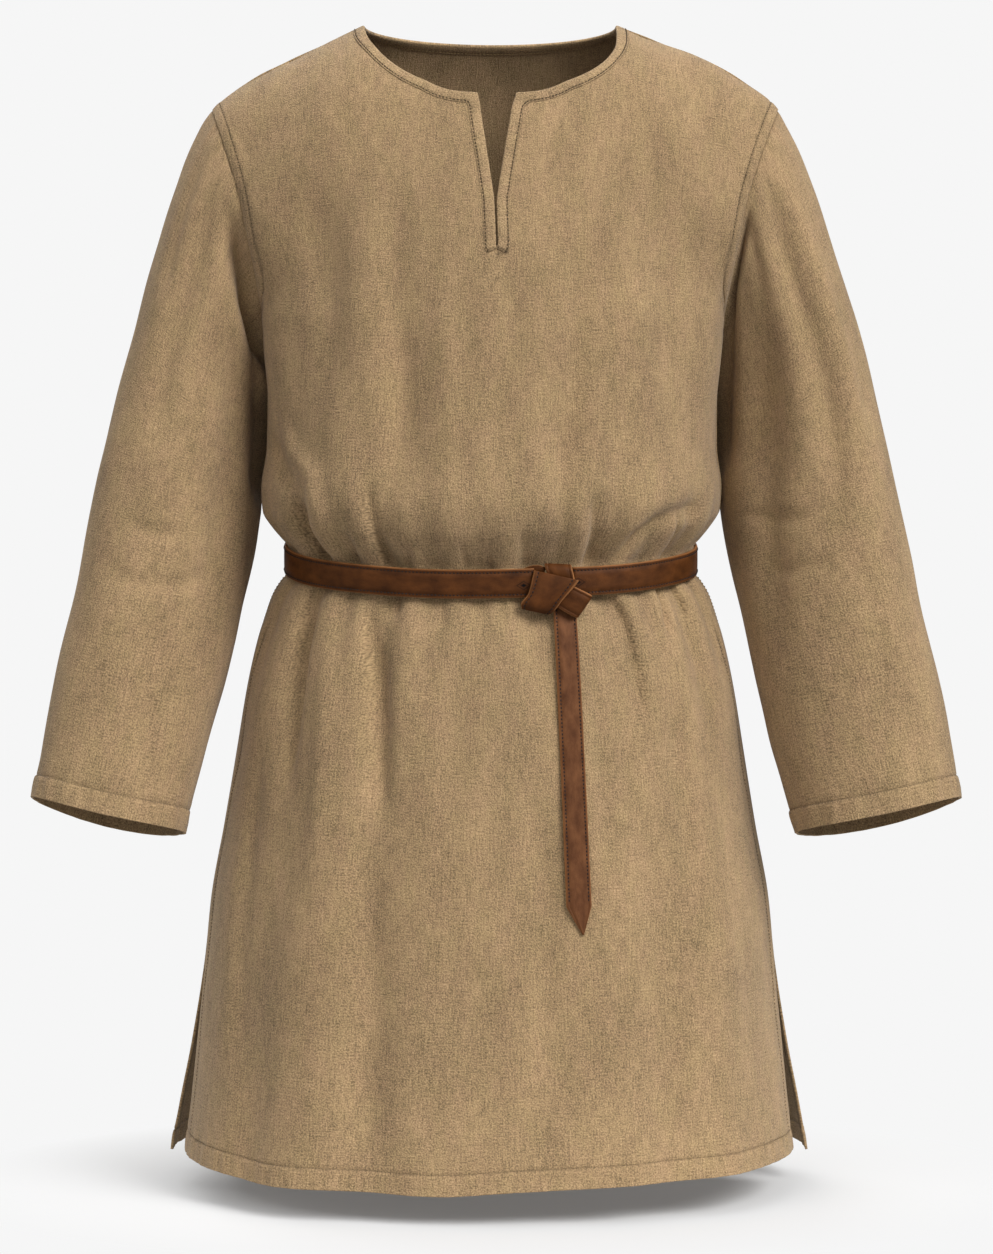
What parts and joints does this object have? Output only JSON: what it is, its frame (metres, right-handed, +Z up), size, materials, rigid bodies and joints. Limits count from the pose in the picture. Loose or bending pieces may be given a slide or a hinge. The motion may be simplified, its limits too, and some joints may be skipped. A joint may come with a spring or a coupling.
{
  "type": "tunic",
  "caption": "Knee-length long-sleeved linen tunic, hollow as worn, with a slit neck, open side slits and a narrow leather belt knotted at the front with one hanging end.",
  "frame": {"origin": "middle of the line between the shoulders, in the neck opening, where a wearer or hanger holds the tunic up", "axes": "+Z up, -Y to the front, +X to the wearer's left"},
  "size_m": [0.8116, 0.3764, 0.9988],
  "materials": {
    "linen": "matt undyed weave with visible threads",
    "binding_linen": "matt undyed weave, folded and stitched",
    "leather": "brown, slightly waxed, with paler burnished edges"
  },
  "bodies": {
    "root": {"front_panel": "linen", "back_panel": "linen", "sleeve_left": "linen", "sleeve_right": "linen", "neck_binding": "binding_linen", "belt": "leather", "knot_wrap": "leather", "knot_front": "leather", "knot_corner": "leather", "knot_tuck": "leather", "belt_tail": "leather"}
  },
  "joints": []
}
